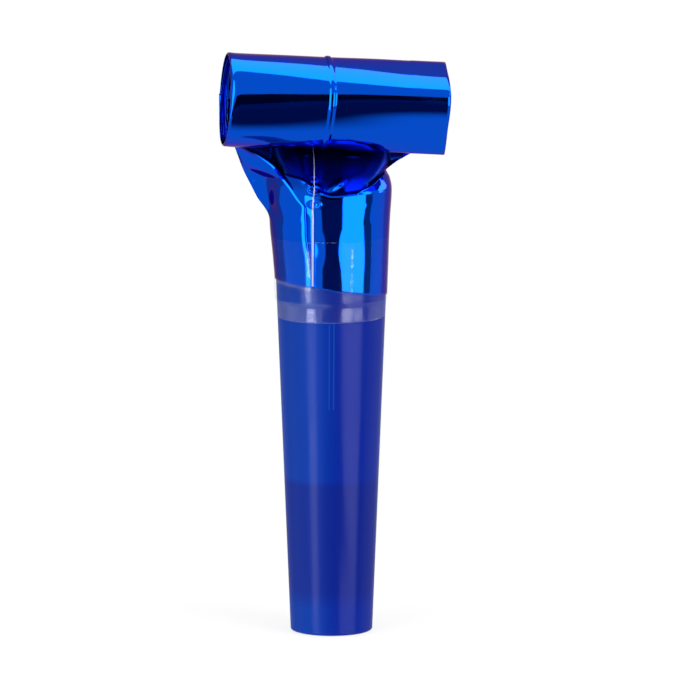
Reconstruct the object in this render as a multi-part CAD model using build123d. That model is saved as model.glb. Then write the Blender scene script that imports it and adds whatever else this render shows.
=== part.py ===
from build123d import *
import os
from math import acos, asin, cos, degrees, pi, radians, sin, sqrt

os.makedirs("parts", exist_ok=True)

# All sizes are in millimetres. The origin is the centre of the mouth end, +Z runs up the mouthpiece
# to the roll, +X runs along the roll and -Y is the front, the side that the roll hangs over.

# Mouthpiece
mouthpiece_length = 100.0
mouth_diameter = 18.6
rim_diameter = 26.6
mouthpiece_wall = 1.0
mouth_bore_depth = 9.0
reed_ledge = 0.7
lip_outer_round = 0.45
lip_inner_round = 0.2
rim_round = 0.35

# Reed in the mouthpiece
reed_fit = 0.05
holder_length = 25.0
holder_wall = 0.8
holder_recess = 4.0
plate_thickness = 1.5
trough_length = 16.0
trough_radius = 3.2
trough_wall = 0.8
tongue_width = 5.6
tongue_thickness = 0.2
tongue_gap = 0.05
tongue_lift = 3.0
clip_height = 4.0
clip_wall = 0.8
clip_room = 0.25

# Spring strip
strip_width = 1.2
strip_thickness = 0.12
strip_play = 0.04
strip_across = -2.0
strip_tail_margin = 16.0
strip_touch_depth = 26.0
strip_straight = 3.0
strip_bend_radius = 12.0
strip_wall_gap = 0.05

# Film tube
film_width = 50.0
film_thickness = 0.1
roll_radius = 10.5
roll_turns = 7
turn_gap = 0.42
end_seal = 2.0
press_depth = 3.1
press_facing = 226.0
roll_tilt = 3.1
roll_rise = 10.2
roll_clearance = 0.3
lead_back = 3.5
lead_height = 3.0
run_length = 4.2
run_gap = 0.1

# Film gathered on the rim
film_overlap = 22.0
film_edge_skew = 8.0
film_fit = 0.05
flare_drop = 6.6
flare_reach = 3.7
rim_cover = 0.5
rim_fit = 0.1
pleat_edge_offset = 7.3
pleat_width = 8.0
lap_seam_offset = 5.9
lap_seam_width = 0.7

# Joint tape
tape_width = 19.0
tape_below_film = 6.8
tape_thickness = 0.1
tape_end_offset = 2.9
tape_lap = 22.0
tape_ramp = 1.0

# Detail of the faceted throat
throat_points = 24
flat_power = 0.25

# Detail of the measured roll
measure_steps = 9

# Sizes worked out from those above
mouth_radius = mouth_diameter / 2
rim_radius = rim_diameter / 2
holder_top = mouth_bore_depth + holder_length
plate_top = holder_top - holder_recess
plate_low = plate_top - plate_thickness
clip_top = plate_low - tongue_gap
clip_low = clip_top - clip_height
cavity_thickness = strip_thickness + 2 * strip_play
tube_thickness = cavity_thickness + 2 * film_thickness
turn_pitch = tube_thickness + turn_gap
roll_y = lead_back - roll_clearance - roll_radius
roll_z = mouthpiece_length + roll_rise + roll_radius
lead_y = roll_radius + roll_clearance + tube_thickness / 2
run_top = -(lead_height + run_gap)
run_low = run_top - run_length
throat_top = run_low - run_gap
throat_low = mouthpiece_length - flare_drop
pleat_layers = 3
roll_place = Location((0, roll_y, roll_z), (0, roll_tilt, 0))


def outer_radius(z):
    """Radius of the mouthpiece's outside at a height."""
    return mouth_radius + (rim_radius - mouth_radius) * z / mouthpiece_length


def bore_radius(z):
    """Radius of the mouthpiece's tapered bore at a height."""
    return outer_radius(z) - mouthpiece_wall


def turned(points, start=0.0, arc=360.0):
    """Solid turned about +Z from a closed outline of (radius, height) points."""
    outline = make_face(Polyline(*points, close=True))
    return revolve(Rot(0, 0, start) * (Plane.XZ * outline), Axis.Z, arc)


def cone_shell(low, high, offset, thickness, start=0.0, arc=360.0):
    """Thin shell that follows the mouthpiece's outside at an offset, all round or over an arc."""
    inner_low = outer_radius(low) + offset
    inner_high = outer_radius(high) + offset
    points = [
        (inner_low, low),
        (inner_low + thickness, low),
        (inner_high + thickness, high),
        (inner_high, high),
    ]
    return turned(points, start, arc)


def front_angle(across, z):
    """Angle about +Z of the point on the front of the mouthpiece that lies at an X offset."""
    return 270 + degrees(asin(across / outer_radius(z)))


def arc_span(length, z):
    """Angle about +Z that a length covers on the mouthpiece's outside."""
    return degrees(length / outer_radius(z))


def save(node, solid):
    """Writes one node."""
    export_step(solid, f"parts/{node}.step")


# Mouthpiece with its tapered bore, the ledge under the reed and the straight mouth bore
mouth_bore_radius = bore_radius(mouth_bore_depth) - reed_ledge
mouthpiece = turned(
    [
        (mouth_bore_radius, 0),
        (mouth_radius, 0),
        (rim_radius, mouthpiece_length),
        (rim_radius - mouthpiece_wall, mouthpiece_length),
        (bore_radius(mouth_bore_depth), mouth_bore_depth),
        (mouth_bore_radius, mouth_bore_depth),
    ]
)
lip_edges = mouthpiece.edges().group_by(Axis.Z)[0].sort_by(SortBy.RADIUS)
mouthpiece = fillet(lip_edges[-1], lip_outer_round)
lip_edges = mouthpiece.edges().filter_by(GeomType.CIRCLE).group_by(Axis.Z)[0].sort_by(SortBy.RADIUS)
mouthpiece = fillet(lip_edges[0], lip_inner_round)
mouthpiece = fillet(mouthpiece.edges().group_by(Axis.Z)[-1], rim_round)
save("mouthpiece", mouthpiece)


def holder_radius(z):
    """Outer radius of the reed holder, which wedges in the tapered bore."""
    return bore_radius(z) - reed_fit


def half_round(radius, low, high):
    """Half cylinder behind the trough's flat face."""
    outline = make_face(
        [CenterArc((0, 0), radius, 0, 180), Line((-radius, 0), (radius, 0))]
    )
    return Pos(0, 0, low) * extrude(outline, high - low)


# Reed holder: sleeve, plate and a trough that hangs from the plate with its flat face to the front
holder_sleeve = turned(
    [
        (holder_radius(mouth_bore_depth) - holder_wall, mouth_bore_depth),
        (holder_radius(mouth_bore_depth), mouth_bore_depth),
        (holder_radius(holder_top), holder_top),
        (holder_radius(holder_top) - holder_wall, holder_top),
    ]
)
plate_radius = holder_radius(plate_low) - holder_wall / 2
holder_plate = Pos(0, 0, (plate_low + plate_top) / 2) * Cylinder(plate_radius, plate_thickness)
trough_low = plate_low - trough_length
trough = half_round(trough_radius, trough_low, plate_top)
trough_hollow = half_round(trough_radius - trough_wall, trough_low + trough_wall, plate_top)
reed_holder = holder_sleeve + holder_plate + trough - trough_hollow
save("reed_holder", reed_holder)

# Reed tongue: the root lies in the clip and the free blade stands off the trough by its lift
tongue_in = -tongue_gap
tongue_out = tongue_in - tongue_thickness
blade_length = clip_low - trough_low
blade_out = blade_length * sin(radians(tongue_lift))
blade_low = clip_low - blade_length * cos(radians(tongue_lift))
tongue_outline = make_face(
    Polyline(
        (tongue_in, clip_top),
        (tongue_out, clip_top),
        (tongue_out, clip_low),
        (tongue_out - blade_out, blade_low),
        (tongue_in - blade_out, blade_low),
        (tongue_in, clip_low),
        close=True,
    )
)
reed_tongue = extrude(Plane.YZ * tongue_outline, tongue_width / 2, both=True)
save("reed_tongue", reed_tongue)


def clip_outline(radius, depth):
    """Half round behind the flat face and a square front as deep as the tongue needs."""
    return make_face(
        [
            CenterArc((0, 0), radius, 0, 180),
            Polyline((-radius, 0), (-radius, -depth), (radius, -depth), (radius, 0)),
        ]
    )


# Reed clip: a collar round the trough and the tongue's root
slot_depth = tongue_gap + tongue_thickness + clip_room
slot_radius = trough_radius + tongue_gap
clip_ring = clip_outline(slot_radius + clip_wall, slot_depth + clip_wall)
clip_ring -= clip_outline(slot_radius, slot_depth)
reed_clip = Pos(0, 0, clip_low) * extrude(clip_ring, clip_height)
save("reed_clip", reed_clip)

# Film collar on the mouthpiece, with the three layers of its pleat, its lap seam and a skewed lower edge
film_low = mouthpiece_length - film_overlap
skew_drop = rim_radius * sin(radians(film_edge_skew))
shell_low = film_low - skew_drop
collar_top = throat_low - run_gap
foil_collar = cone_shell(shell_low, collar_top, film_fit, film_thickness)
pleat_end = front_angle(-pleat_edge_offset, film_low)
pleat_span = arc_span(pleat_width, film_low)
seam_span = arc_span(lap_seam_width, film_low)
seam_start = front_angle(-lap_seam_offset, film_low) - seam_span / 2
layered = film_fit + film_thickness / 2
pleat_stack = film_thickness * (pleat_layers - 0.5)
seam_stack = film_thickness * 1.5
foil_collar += cone_shell(shell_low, collar_top, layered, pleat_stack, pleat_end - pleat_span, pleat_span)
foil_collar += cone_shell(shell_low, collar_top, layered, seam_stack, seam_start, seam_span)
edge_normal = Vector(0, 0, 1).rotate(Axis.Y, film_edge_skew)
edge_plane = Plane(origin=(0, 0, film_low), z_dir=edge_normal)
foil_collar = split(foil_collar, edge_plane, Keep.TOP)
save("foil_collar", foil_collar)


def throat_outline(left, right, front, back, middle, power):
    """Closed outline, front wall from left to right and back wall from right to left."""
    points = []
    for step in range(2 * throat_points):
        turn = pi * step / throat_points
        across = -left * cos(turn) if cos(turn) > 0 else -right * cos(turn)
        depth = front if sin(turn) > 0 else back
        bulge = abs(sin(turn)) ** power if step % throat_points else 0.0
        points.append((across, middle - depth * bulge if sin(turn) > 0 else middle + depth * bulge))
    return make_face(Polyline(*points, close=True))


def throat_loft(grow):
    """Film throat from the collar, out over the rim and up to the flat tube, grown by an offset."""
    facet = 1 / cos(pi / (2 * throat_points))
    low_radius = (outer_radius(throat_low) + film_fit + grow) * facet
    high_radius = (rim_radius + rim_fit + grow) * facet
    flat_half = cavity_thickness / 2 + grow
    half_width = film_width / 2 - film_thickness + grow
    rim_z = mouthpiece_length + rim_cover
    top_x = throat_top * sin(radians(roll_tilt))
    top_z = roll_z + throat_top * cos(radians(roll_tilt))
    sections = [Pos(0, 0, throat_low) * throat_outline(*[low_radius] * 4, 0, 1)]
    for share in (0.0, 0.3, 0.65, 1.0):
        left = high_radius + flare_reach + share * (half_width - high_radius - flare_reach)
        right = high_radius + share**2 * (half_width - high_radius)
        depth = high_radius + share * (flat_half - high_radius)
        middle = share * (roll_y + lead_y)
        power = 1 + share**2 * (flat_power - 1)
        place = Location((share * top_x, 0, rim_z + share * (top_z - rim_z)), (0, share * roll_tilt, 0))
        sections.append(place * throat_outline(left, right, depth, depth, middle, power))
    return loft(sections, ruled=True)


# Film throat, a hollow that spreads from the round rim to the flat tube under the roll
foil_throat = throat_loft(film_thickness) - throat_loft(0)
save("foil_throat", foil_throat)


def flat_tube(low, high):
    """Straight stretch of the film tube behind the roll, between two heights in the roll's frame."""
    centre = Pos(0, lead_y, (low + high) / 2)
    tube = Box(film_width, tube_thickness, high - low)
    hollow = Box(film_width - 2 * film_thickness, cavity_thickness, high - low)
    return roll_place * (centre * (tube - hollow))


def flat_strip(low, high):
    """Straight stretch of the spring strip inside the flat tube."""
    centre = Pos(strip_across, lead_y, (low + high) / 2)
    return roll_place * (centre * Box(strip_width, strip_thickness, high - low))


# Flat run that lengthens as the roll pays out, and the lead that travels with the roll
save("foil_run", flat_tube(run_low, run_top))
save("foil_lead", flat_tube(-lead_height, 0))
save("spring_run", flat_strip(run_low, run_top))
save("spring_lead", flat_strip(-lead_height, 0))


def quarter_arcs():
    """Centre, middle radius and start angle of each quarter turn, winding in from the tangent point."""
    centre = Vector(0, 0)
    radius = roll_radius - tube_thickness / 2
    step = turn_pitch / 4
    for quarter in range(4 * roll_turns):
        yield centre, radius, 90 * quarter
        end = radians(90 * (quarter + 1))
        centre += Vector(cos(end), sin(end)) * step
        radius -= step


def press_angle(arcs, quarter, offset, way):
    """Angle at which a quarter turn before or after the pressed lower front of its turn meets that flat."""
    turn = quarter // 4
    facing = Vector(1, 0).rotate(Axis.Z, press_facing)
    flat_centre, flat_radius, _ = arcs[4 * turn + 2]
    flat_reach = flat_centre.dot(facing) + flat_radius - press_depth + offset
    centre, radius, _ = arcs[quarter]
    swing = acos((flat_reach - centre.dot(facing)) / (radius + offset))
    return press_facing + 360 * turn + way * degrees(swing)


def wound_line(offset, shorten, pressed):
    """Edges along the turns at an offset from their middle, round or with each turn's lower front pressed flat."""
    arcs = list(quarter_arcs())
    edges = []
    for quarter, (centre, radius, start) in enumerate(arcs):
        end = start + 90
        if quarter == len(arcs) - 1:
            end -= degrees(shorten / radius)
        if pressed and quarter % 4 == 1:
            end = press_angle(arcs, quarter, offset, -1)
        if pressed and quarter % 4 == 3:
            start = press_angle(arcs, quarter, offset, 1)
        edges.append(CenterArc(centre, radius + offset, start, end - start))
    for quarter in range(2, len(arcs), 4):
        if pressed:
            edges[quarter] = Line(edges[quarter - 1] @ 1, edges[quarter + 1] @ 0)
    return edges


def wound_face(thickness, shorten, pressed):
    """Section of a band along all the turns, shortened at its inner end."""
    outer = wound_line(thickness / 2, shorten, pressed)
    inner = wound_line(-thickness / 2, shorten, pressed)
    ends = [Line(outer[0] @ 0, inner[0] @ 0), Line(outer[-1] @ 1, inner[-1] @ 1)]
    return Plane.YZ * make_face(outer + inner + ends)


def wound_band(thickness, width, shorten):
    """One unbroken band along all the turns, round at the left end of the roll and pressed at the right end."""
    left = Pos(-width / 2, 0, 0) * wound_face(thickness, shorten, False)
    right = Pos(width / 2, 0, 0) * wound_face(thickness, shorten, True)
    return loft([left, right], ruled=True)


# Rolled film tube, sealed at its inner end, and the spring strip wound inside it
film_band = wound_band(tube_thickness, film_width, 0)
film_hollow = wound_band(cavity_thickness, film_width - 2 * film_thickness, end_seal)
save("foil_roll", roll_place * (film_band - film_hollow))
strip_band = wound_band(strip_thickness, film_width, end_seal + strip_play)
wound_strip = strip_band & Pos(strip_across, 0, 0) * Box(strip_width, 2 * film_width, 2 * film_width)
save("spring_roll", roll_place * wound_strip)

# Spring tail, from the flat tube across the bore and down the front wall of the mouthpiece
tail_start = roll_place * Pos(strip_across, lead_y, throat_top)
tail_x = tail_start.position.X
tail_y = tail_start.position.Y
tail_top = tail_start.position.Z
strip_touch = mouthpiece_length - strip_touch_depth
tail_low = holder_top + strip_tail_margin


def tail_wall(z):
    """Y of the strip's middle where its outer edge lies on the front wall of the bore."""
    edge = abs(tail_x) + strip_width / 2
    return strip_wall_gap + strip_thickness / 2 - sqrt(bore_radius(z) ** 2 - edge**2)


tail_path = FilletPolyline(
    (tail_x, tail_y, tail_top),
    (tail_x, tail_y, tail_top - strip_straight),
    (tail_x, tail_wall(strip_touch), strip_touch),
    (tail_x, tail_wall(tail_low), tail_low),
    radius=strip_bend_radius,
)
tail_plane = Plane(origin=tail_path @ 0, x_dir=(1, 0, 0), z_dir=tail_path % 0)
spring_tail = sweep(tail_plane * Rectangle(strip_width, strip_thickness), path=tail_path)
save("spring_tail", spring_tail)

# Joint tape: one turn over the mouthpiece and the film, with its end lapped at the front
tape_low = film_low - tape_below_film
tape_high = tape_low + tape_width
ramp_top = film_low - skew_drop
ramp_low = ramp_top - tape_ramp
over_film = 2 * film_fit + pleat_layers * film_thickness


def tape_ring(lift, thickness, start=0.0, arc=360.0):
    """Ring of tape that lies on the mouthpiece at its foot and climbs on to the film."""
    heights = [(tape_low, film_fit), (ramp_low, film_fit), (ramp_top, over_film), (tape_high, over_film)]
    inner = [(outer_radius(z) + offset + lift, z) for z, offset in heights]
    outer = [(radius + thickness, z) for radius, z in reversed(inner)]
    return turned(inner + outer, start, arc)


lap_span = arc_span(tape_lap, film_low)
lap_start = front_angle(tape_end_offset, film_low) - lap_span
joint_tape = tape_ring(0, tape_thickness)
joint_tape += tape_ring(tape_thickness / 2, 1.5 * tape_thickness, lap_start, lap_span)
save("joint_tape", joint_tape)


def measure_roll(pressed):
    """Length of the wound band at one end of the roll, and its least gap to itself over points along the turns."""
    edges = wound_line(0, 0, pressed)
    points = [edge @ (step / measure_steps) for edge in edges for step in range(measure_steps)]
    half_turn = 2 * measure_steps
    gap = min(
        (first - second).length
        for index, first in enumerate(points)
        for second in points[index + half_turn:]
    )
    return sum(edge.length for edge in edges), gap - tube_thickness


for end_name, end_pressed in (("round", False), ("pressed", True)):
    wound_length, least_gap = measure_roll(end_pressed)
    print(f"{end_name} end: wound length {wound_length:.1f} mm, least gap of the roll to itself {least_gap:.3f} mm")
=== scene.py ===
"""Looks of a party horn blower: dyed metallised film on a moulded mouthpiece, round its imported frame."""

from math import atan2, cos, degrees, exp, pi, radians, sin, sqrt, tan

import bpy
from mathutils import Matrix, Vector, noise


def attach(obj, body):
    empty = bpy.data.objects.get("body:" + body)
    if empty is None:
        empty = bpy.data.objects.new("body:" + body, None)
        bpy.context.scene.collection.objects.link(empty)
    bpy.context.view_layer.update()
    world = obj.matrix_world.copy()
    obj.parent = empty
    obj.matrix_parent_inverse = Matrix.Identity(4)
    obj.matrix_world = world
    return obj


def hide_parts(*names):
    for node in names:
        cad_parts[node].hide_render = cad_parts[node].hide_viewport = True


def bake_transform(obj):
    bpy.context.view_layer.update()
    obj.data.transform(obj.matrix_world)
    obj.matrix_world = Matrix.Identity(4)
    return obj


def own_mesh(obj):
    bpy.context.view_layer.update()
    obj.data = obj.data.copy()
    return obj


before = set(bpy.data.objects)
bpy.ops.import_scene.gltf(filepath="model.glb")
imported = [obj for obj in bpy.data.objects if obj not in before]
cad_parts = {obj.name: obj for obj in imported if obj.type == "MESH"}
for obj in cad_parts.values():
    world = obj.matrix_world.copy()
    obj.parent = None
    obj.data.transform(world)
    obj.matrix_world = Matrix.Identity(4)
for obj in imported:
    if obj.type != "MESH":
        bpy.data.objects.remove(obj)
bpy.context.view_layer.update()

# Sizes are in millimetres in the part's frame: +Z up the mouthpiece, +X along the roll, -Y to the front
MM = 0.001

# Mouthpiece cone that the film is gathered on, its rim, and the height up to which the film keeps to it
MOUTH_RADIUS = 9.3
CONE_SLOPE = 0.04
RIM_Z = 100.0
CONE_KEPT = 101.0
# Reed holder, whose shade is painted on the mouthpiece, and the two edges of the strip's tail, painted on it
# as lighter lines
REED_LOW = 10.0
REED_TOP = 34.2
REED_FADE_LOW = 4.0
REED_FADE_TOP = 1.5
STRIP_SEEN_X = -1.6
STRIP_END_Z = 52.1
STRIP_SEEN_TOP = 72.5
STRIP_EDGE_OFFSET = 0.5
STRIP_EDGE_HALF = 0.12
# X between which the mouthpiece's painted light on its lit left side gives way to painted shade
LIT_SIDE_X = -7.0
SHADED_SIDE_X = 1.0

# Roll of flattened film tube, wound from the back over the top
ROLL_CENTRE = (0.0, -7.3, 120.3)
ROLL_TILT = radians(3.7)
ROLL_WIDTH = 50.0
ROLL_HALF = ROLL_WIDTH / 2
ROLL_RADIUS = 10.65
TURN_PITCH = 0.82
LOOSE_TURNS = 0.7
LEAVING_ANGLE = 0.45
FILM_WALL = 0.14
FILM_BEND = [radians(step) for step in (-6, -3, 0, 3, 6)]
OUTER_TURNS = 2
INNER_TURNS = 5
OUTER_STEPS = 72
INNER_STEPS = 30
ROLL_STEPS = OUTER_TURNS * OUTER_STEPS + INNER_TURNS * INNER_STEPS
ROLL_ROWS = 84
# Ends of the roll: setback and wander of the inner turns, and trim of the right end by its facing
INNER_SETBACK = 1.4
INNER_SETBACK_TURNS = (0.7, 1.5)
TURN_WANDER = 0.3
TURN_WANDER_TURNS = (0.5, 1)
RIGHT_TRIM = 0.3
RIGHT_TRIM_TOP = 0.45
RIGHT_TRIM_FRONT = 0.4
# Left rim: its round, its gentle wave, and a dent between facings in degrees where it grows and fades
EDGE_ROUND = 0.45
RIM_WAVE = 0.12
RIM_WAVE_REACH = 2.0
RIM_DENT_FACINGS = (-14, -6, 44, 56)
RIM_DENT_SLOPE = 0.55
RIM_DENT_WIDTH = 1.1
RIM_DENT_WAVE = 0.35
# Ridge of the spring strip round the roll, with the zone of closer points, and a crease near the right end
RIDGE_X = -2.3
RIDGE_FLAT = 0.3
RIDGE_FOOT = 0.8
RIDGE_HEIGHT = 0.3
RIDGE_ZONE = 1.6
STRIP_HALF = 0.6
STRIP_WALL = 0.1
CREASE_X = 17.0
CREASE_HALF = 0.25
CREASE_STEP = 0.07
# Shares of the way along the roll at which its edge, its left part and its ridge zone end
EDGE_END, LEFT_PART_END, RIDGE_ZONE_END = 0.08, 0.36, 0.56
# Flats pressed into the right end of the roll: distance from its axis, and facing above the front horizon
PRESSED_FLATS = [
    (7.5, -42), (8.8, -28), (10.93, -2), (11.84, 30), (10.43, 56), (9.92, 68), (10.9, 92), (11.0, 125),
    (10.8, 160), (10.7, 195), (10.6, 230), (9.9, 260),
]
PRESSED_REACH = 12.0
PRESSED_FROM_X = -28.0
PRESSED_TO_X = 27.0
# Front and bottom flats of the underside: their facings, where the round starts again, the bottom's share
# of the radius, and X between which they grow
UNDERSIDE_FRONT = radians(-40)
UNDERSIDE_BOTTOM = radians(-90)
UNDERSIDE_BACK = UNDERSIDE_BOTTOM - 0.3
UNDERSIDE_SHARE = 0.96
UNDERSIDE_FROM_X = -20.0
UNDERSIDE_TO_X = -8.0

# Flat tube behind the roll, in the roll's own frame: heights of the run that lengthens, place and half depth
RUN_LOW = -7.3
LEAD_BACK = 11.0
LEAD_HALF = 0.2
FLAT_FRONT = ROLL_CENTRE[1] + LEAD_BACK - LEAD_HALF
FLAT_BACK = ROLL_CENTRE[1] + LEAD_BACK + LEAD_HALF

# Film collar and throat
FILM_LOW = 78.8
FILM_SKEW = radians(8.0)
FILM_LIFT = 0.18
COLLAR_TOP = 93.0
GATHER_TOP = 99.0
TILT_START_Z = 104.0
THROAT_TOP = 113.4
SLEEVE_TOP = 120.7
SLEEVE_WALL = 0.08
SLEEVE_COLUMNS = 240
SLEEVE_ROWS = 180
COLLAR_ROWS_END, THROAT_ROWS_END = 0.15, 0.85
# Shares of the way round the sleeve at which its zones end
PANEL_END, HEM_END, GROOVE_END, WALL_END, RIM_END, SHOULDER_END = 0.20, 0.25, 0.27, 0.66, 0.69, 0.82
# Loose pleat on the left: lift at its foot and top, and angles round the mouthpiece of its start and fall
PLEAT_LOW_LIFT = 0.2
PLEAT_TOP_LIFT = 0.75
PLEAT_START = radians(110)
PLEAT_END = radians(239)
PLEAT_FALL = radians(4)
PLEAT_FALL_UNDER_TAPE = radians(14)
# Hem of the left fold: it rounds over, runs flat and turns under, and fades out below the flat tube
HEM_RADIUS = 0.4
HEM_COLLAR_WIDTH = 0.7
HEM_THROAT_WIDTH = 0.5
HEM_NARROW_Z = 98.0
HEM_FACING = radians(-30)
HEM_TURN = radians(100)
HEM_LEAST_TURN = 0.6
HEM_ROUND_END, HEM_FLAT_END = 0.3, 0.7
HEM_FADE_LOW = 107.5
HEM_FADE_TOP = 111.0
# Back of the throat: heights between which it leaves the rim, and shares over which its sides join it
BACK_LEAVES_LOW = 100.4
BACK_LEAVES_TOP = 108.0
BACK_SIDE = 0.12
BACK_FOLD = 0.04

# Edges and folds of the throat: height, X, Y
LEFT_EDGE = [
    (93, -13.9, 0), (95.4, -14.9, 1.2), (97.7, -16.0, 2.2), (101, -17.6, 3.2), (104.6, -19.4, 3.3),
    (110, -21.9, 2.6), (113.4, -24.0, 3.2), (116, -25, 3.7), (122, -25, 3.7),
]
LEFT_FOLD = [
    (75, -6.1, -11.0), (79, -6.6, -11.0), (84.5, -7.2, -11.05), (89, -7.9, -11.0), (92, -8.2, -11.1),
    (95, -8.2, -11.2), (97.8, -8.2, -11.2), (99.6, -9.4, -10.0), (101.9, -10.9, -8.5), (104.2, -12.6, -6.5),
    (106.2, -14.0, -4.6), (107.6, -16.0, -3.5), (108.6, -17.9, -2.4), (109.3, -19.6, -1.0),
    (111, -22.0, 1.6), (114.5, -24.6, 3.4), (122, -24.7, 3.5),
]
LEFT_CREASE = [
    (93.7, -12.4, -6.0), (98.6, -12.9, -5.5), (101, -12.7, -5.5), (103.5, -12.8, -5.4), (106, -16.2, -2.6),
    (108, -18.8, -0.4), (110, -21.2, 1.2), (113.4, -23.9, 3.0), (122, -24.9, 3.6),
]
LEFT_ROOT = [
    (93.7, -13.8, 0.2), (98.6, -14.2, 0.5), (101, -14.6, 0.6), (103.5, -15.4, 0.9), (106, -19.3, 1.7),
    (110, -21.7, 2.4), (114.5, -24.8, 3.6), (122, -25, 3.7),
]
# Shares of the way across the left panel at which its root and its crease lie
ROOT_SHARE, CREASE_SHARE = 0.22, 0.6
RIGHT_FOLD = [
    (75, 3.9, -11.9), (99, 3.9, -12.8), (100.8, 4.2, -12.7), (102.3, 7.7, -10.1), (104.2, 11.1, -4.6),
    (105, 12.3, -0.6), (108, 16.7, 1.7), (111, 21.3, 2.7), (113.8, 24.7, 3.5), (122, 24.8, 3.5),
]
RIGHT_FOLD_START = 100.8
RIGHT_EDGE = [
    (93, 13.3, 0), (101.3, 13.65, 0), (103.4, 13.3, 0.2), (104.9, 12.6, 0.6), (108, 17.0, 2.0),
    (111, 21.6, 2.9), (113.8, 25, 3.7), (122, 25, 3.7),
]
# Flat top of the right fold: width, facing low and high, and heights where it grows, turns and fades
FOLD_WIDTH = 0.5
FOLD_FACING_LOW = radians(28)
FOLD_FACING_HIGH = radians(50)
FOLD_HEIGHTS = (100.5, 101.2, 104.6, 106)
FOLD_TURN_HEIGHTS = (101.5, 103.3)
# Rim line across the front, where the film leaves the collar and slopes back under the roll: X, height
RIM_LINE = [
    (-12, 104.6), (-9, 104.2), (-6.6, 103.2), (-4.4, 101.3), (-1.5, 100.5), (3.9, 100.8), (13, 101.0),
]
RIM_RADIUS = MOUTH_RADIUS + CONE_SLOPE * RIM_Z + FILM_LIFT
RIM_GUTTER = 0.6
RIM_GUTTER_SHARE = 0.06
RIM_BLEND = 0.35
RIM_BLEND_HEIGHTS = (97, 99.5)
WALL_STRAIGHT = 0.78
WALL_FLAT_Z = 112.5
WALL_LEFT_GAP = 0.15
WALL_RIGHT_GAP = 0.3
# Grooves of the front wall along its two folds: depth, width, and heights where they grow and fade
LEFT_GROOVE = (1.4, 1.1, (100.6, 103, 106, 111.5))
RIGHT_GROOVE = (2.0, 1.5, (101.2, 103, 105, 108.5))

# Lap seam of the film tube, seen as a pale line
SEAM_COLLAR_X = -5.9
SEAM_TOP_X = -4.4
SEAM_START = 0.6
SEAM_BEND_Z = 98.0
SEAM_TOP_Z = 111.0
SEAM_WIDTH = 0.4
SEAM_TOP_SHARE = 0.4
SEAM_NARROW_HEIGHTS = (95, 108)
SEAM_PROUD = 0.14
SEAM_WALL = 0.05
LAP_LIFT = 0.4
LAP_EDGE = 0.3
LAP_FADE_HEIGHTS = (95, 97.5)
# Lens-shaped puckers of the front wall, one of them the leaf on the rim: X, Z, half sizes, lift, turn
PUCKERS = [
    (-6.9, 103.1, 0.7, 0.5, 0.35, 20), (-0.4, 102.9, 3.1, 1.1, 0.9, 26), (-6.0, 108.9, 1.6, 0.5, 0.4, 4),
    (4.2, 108.7, 3.2, 0.5, 0.4, -4),
]
# Ring-shaped puckers on the seam: X, Z, half sizes, lift
RINGS = [(-5.5, 101.9, 2.2, 1.3, 0.55), (-5.4, 98.7, 1.5, 1.1, 0.35), (-5.3, 104.2, 1.0, 0.8, 0.35)]
RING_MIDDLE = 0.7
RING_WIDTH = 0.25
# Shallow swells and a dent of the collar's front, and a swell of the left panel, given like the puckers
SWELLS = [
    (-1.5, 88.5, 4.2, 5.0, 0.2, 0), (5.2, 96.5, 4.4, 3.2, 0.16, 0), (4.95, 98.3, 1.05, 0.9, -0.14, 0),
]
SWELL_FRONT_Y = -5.0
PANEL_SWELL = (-10.6, 96.2, 3.2, 3.4, 0.16, 0)
# Painted shade of the throat's wall, which also dulls its mirror: everywhere, more beside the right fold,
# more high up under the roll, none where a ring is taut
WALL_SHADE = 0.42
WALL_SHADE_RIGHT = 0.4
WALL_SHADE_RIGHT_REACH = 2.5
WALL_SHADE_HIGH = 0.22
WALL_SHADE_HIGH_HEIGHTS = (104, 107.5)
WALL_SHADE_START_HEIGHTS = (101, 103.5)
WALL_SHADE_END_DEPTHS = (2.6, 3.0)
WALL_SHADE_SIDE = 0.2
TAUT_LIFT = 0.2
# Ripples of the hand-gathered film: size, height on the collar and the throat, and where they calm and fade
RIPPLE_SIZE = 6.0
COLLAR_RIPPLE = 0.1
THROAT_RIPPLE = 0.02
RIPPLE_CALM_HEIGHTS = (96, 101)
RIPPLE_HEIGHTS = (FILM_LOW, 84, 108, 112)
ROLL_RIPPLE_SIZE = 9.0
ROLL_RIPPLE = 0.1

# Joint tape: its edges, its step up onto the film, and its end lapped at the front
TAPE_LOW = 72.1
TAPE_HIGH = 90.2
TAPE_STEP = 75.7
TAPE_STEP_HALF = 0.6
TAPE_END_X = 2.9
TAPE_END_Z = 80.0
TAPE_LAP = radians(98)
TAPE_LAP_LIFT = 0.07
TAPE_LIFT = 0.06
TAPE_OVER_FILM = 0.15
TAPE_SAG = 0.35
TAPE_WALL = 0.05
# Sheen of the tape: on the film, its foot, the gap below the film on the left and right, the film's edge,
# the pocket beside the left fold, its step, and in dots along its top and its end
SHEEN_ON_FILM = 0.0015
SHEEN_FOOT = 0.019
SHEEN_GAP_LEFT = 0.014
SHEEN_GAP_RIGHT = 0.007
SHEEN_FILM_EDGE = 0.02
SHEEN_POCKET = 0.02
SHEEN_STEP = 0.016
SHEEN_DOTS = 0.04
DOT_SIZE = 0.35
# Facings in degrees, and heights, between which parts of the sheen grow and fade
GAP_CLEAR_FACINGS = (-86, -80, -42, -37)
FILM_EDGE_FACINGS = (-100, -80, -30, -26)
POCKET_FACINGS = (-33, -31, -27, -25)
POCKET_HEIGHTS = (81.5, 83, 87.5, 89)
TOP_LINE_FACINGS = (-36, -30, 2, 8)
END_LINE_HALF = 0.69

# View of the photograph
VIEW_AIM = (2.12, 0.3, 66.18)
VIEW_AZIMUTH = -8
VIEW_ELEVATION = 8
VIEW_DISTANCE = 1250.0
VIEW_LENS = 292.0
VIEW_SENSOR = 36.0

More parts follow.
